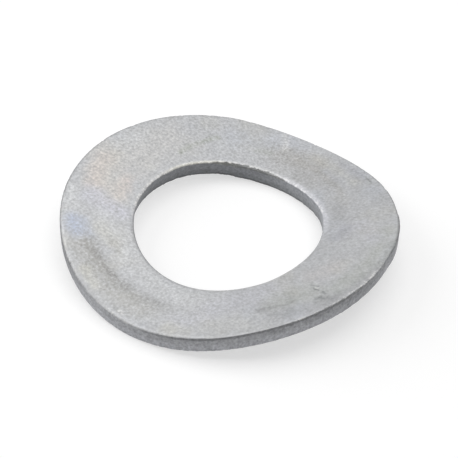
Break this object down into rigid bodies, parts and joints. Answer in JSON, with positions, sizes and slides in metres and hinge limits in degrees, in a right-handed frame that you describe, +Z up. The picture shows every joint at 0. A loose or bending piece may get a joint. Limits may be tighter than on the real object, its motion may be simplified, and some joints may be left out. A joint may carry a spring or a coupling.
{
  "type": "wave spring washer",
  "caption": "Round zinc-plated steel spring washer, punched from sheet and pressed into a shallow plane wave, that keeps tension under a bolt head or nut.",
  "frame": {"origin": "on the bore axis, at the plane that the trough rests on", "axes": "+Z up along the bore; the trough lies along Y, and the two raised ends are at +X and -X"},
  "size_m": [0.0302, 0.03, 0.004],
  "materials": {
    "zinc_plate": "matt zinc plate, tumbled, with a faint blue and straw tint"
  },
  "bodies": {
    "root": {"washer": "zinc_plate"}
  },
  "joints": []
}
